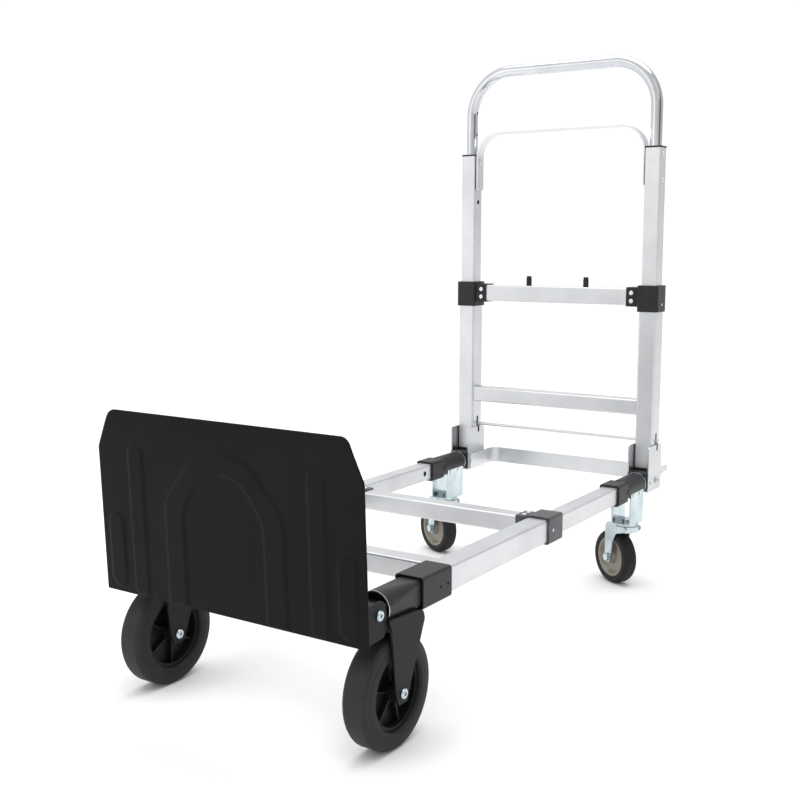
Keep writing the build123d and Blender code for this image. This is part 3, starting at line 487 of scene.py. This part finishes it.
def plate_grid(columns, rows):
    """The plate's front points and then its back points, and the faces that close it all round."""
    front, back = [], []
    for h in rows:
        wide = half_width(h)
        for t in columns:
            front_point, back_point = plate_points(t * wide, h, wide)
            front.append(front_point)
            back.append(back_point)
    wide_count, high_count, behind = len(columns), len(rows), len(front)
    faces = []
    for i in range(high_count - 1):
        for j in range(wide_count - 1):
            a = i * wide_count + j
            quad = (a, a + 1, a + 1 + wide_count, a + wide_count)
            faces.append(quad)
            faces.append(tuple(behind + k for k in reversed(quad)))
    rim = list(range(wide_count))
    rim += [i * wide_count + wide_count - 1 for i in range(1, high_count)]
    rim += [(high_count - 1) * wide_count + j for j in range(wide_count - 2, -1, -1)]
    rim += [i * wide_count for i in range(high_count - 2, 0, -1)]
    for a, b in zip(rim, rim[1:] + rim[:1]):
        faces.append((a, a + behind, b + behind, b))
    return front + back, faces


column_count, row_count, corner_rows = 191, 111, 12
columns = graded(column_count, edge_round / plate_half)
rows = [plate_low + plate_tall * (t + 1) / 2 for t in graded(row_count, 2 * edge_round / plate_tall)]
rows += [plate_high - top_round * quarter_turn(k, corner_rows) for k in range(1, corner_rows)]
plate_verts, plate_faces = plate_grid(columns, sorted(rows))
plate = piece("nose_plate_pressed", plate_verts, plate_faces, plate_coat, sharp=50)
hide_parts("nose_plate")
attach(plate, "nose")

# ---------------------------------------------------------------- floor
floor_half = 30.0
floor_corners = [(-floor_half, -floor_half, 0), (floor_half, -floor_half, 0)]
floor_corners += [(floor_half, floor_half, 0), (-floor_half, floor_half, 0)]
floor_mesh = bpy.data.meshes.new("floor")
floor_mesh.from_pydata(floor_corners, [], [(0, 1, 2, 3)])
floor = bpy.data.objects.new("floor", floor_mesh)
bpy.context.collection.objects.link(floor)
floor_paint, _, floor_shader = new_material("floor_paint")
floor_shader.inputs["Base Color"].default_value = (0.89, 0.89, 0.89, 1)
floor_shader.inputs["Roughness"].default_value = 0.9
floor_shader.inputs["Specular IOR Level"].default_value = 0.1
floor_mesh.materials.append(floor_paint)

# ---------------------------------------------------------------- studio
# A white backdrop behind soft light from all round. The light is stronger from one side, and a dark
# flag on the other side gives the polished tubes a streak.
white = (1, 1, 1, 1)
world = bpy.data.worlds.new("studio")
bpy.context.scene.world = world
world.use_nodes = True
sky_tree = world.node_tree
surround = sky_tree.nodes["Background"]
surround.inputs["Color"].default_value = white
direction = sky_tree.nodes.new("ShaderNodeTexCoord")


def towards(vector):
    """How far the sky's direction points along a vector."""
    dot = sky_tree.nodes.new("ShaderNodeVectorMath")
    dot.operation = "DOT_PRODUCT"
    dot.inputs[1].default_value = vector
    sky_tree.links.new(direction.outputs["Generated"], dot.inputs[0])
    return dot.outputs["Value"]


bright_side, flag_side = (-0.98, -0.18, 0.0), (0.975, -0.17, 0.14)
slope = add(sky_tree, "ShaderNodeMapRange", From_Min=-1.0, From_Max=1.0, To_Min=0.64, To_Max=1.08)
flag = add(sky_tree, "ShaderNodeMapRange", From_Min=0.94, From_Max=0.985, To_Min=1.0, To_Max=0.25)
level = sky_tree.nodes.new("ShaderNodeMath")
level.operation = "MULTIPLY"
backdrop = add(sky_tree, "ShaderNodeBackground", Color=white, Strength=1.05)
seen = sky_tree.nodes.new("ShaderNodeLightPath")
choose = sky_tree.nodes.new("ShaderNodeMixShader")
sky_tree.links.new(towards(bright_side), slope.inputs["Value"])
sky_tree.links.new(towards(flag_side), flag.inputs["Value"])
sky_tree.links.new(slope.outputs["Result"], level.inputs[0])
sky_tree.links.new(flag.outputs["Result"], level.inputs[1])
sky_tree.links.new(level.outputs["Value"], surround.inputs["Strength"])
sky_tree.links.new(seen.outputs["Is Camera Ray"], choose.inputs[0])
sky_tree.links.new(surround.outputs[0], choose.inputs[1])
sky_tree.links.new(backdrop.outputs[0], choose.inputs[2])
sky_tree.links.new(choose.outputs[0], sky_tree.nodes["World Output"].inputs["Surface"])


def softbox(name, place, target, size, power):
    """A square area light aimed at a point."""
    lamp = bpy.data.lights.new(name, "AREA")
    lamp.shape = "SQUARE"
    lamp.size = size
    lamp.energy = power
    holder = bpy.data.objects.new(name, lamp)
    holder.location = place
    holder.rotation_euler = (Vector(target) - Vector(place)).to_track_quat("-Z", "Y").to_euler()
    bpy.context.collection.objects.link(holder)


softbox("key", place=(2.4, -0.6, 2.4), target=(0, 0.5, 0.3), size=1.8, power=3)
softbox("top", place=(0.0, 0.8, 3.2), target=(0, 0.5, 0.3), size=2.4, power=30)
softbox("front", place=(-1.6, -1.9, 1.5), target=(0, 0.95, 0.6), size=1.6, power=4.5)
overhead = bpy.data.lights.new("overhead", "SUN")
overhead.energy = 1.15
overhead.angle = math.radians(70)
bpy.context.collection.objects.link(bpy.data.objects.new("overhead", overhead))

# ---------------------------------------------------------------- camera
azimuth, pitch = math.radians(33.41), math.radians(7.81)
level_part = math.cos(pitch)
look = Vector((-math.sin(azimuth) * level_part, math.cos(azimuth) * level_part, -math.sin(pitch)))
camera_data = bpy.data.cameras.new("camera")
camera_data.sensor_width = 36.0
camera_data.lens = 49.73
camera_data.shift_x, camera_data.shift_y = -0.0018, -0.0078
camera_data.clip_end = 100
camera = bpy.data.objects.new("camera", camera_data)
camera.location = (0.94267, -1.02060, 0.63460)
camera.rotation_euler = look.to_track_quat("-Z", "Y").to_euler()
bpy.context.collection.objects.link(camera)
bpy.context.scene.camera = camera
bpy.context.scene.view_settings.view_transform = "Standard"

bpy.context.view_layer.update()
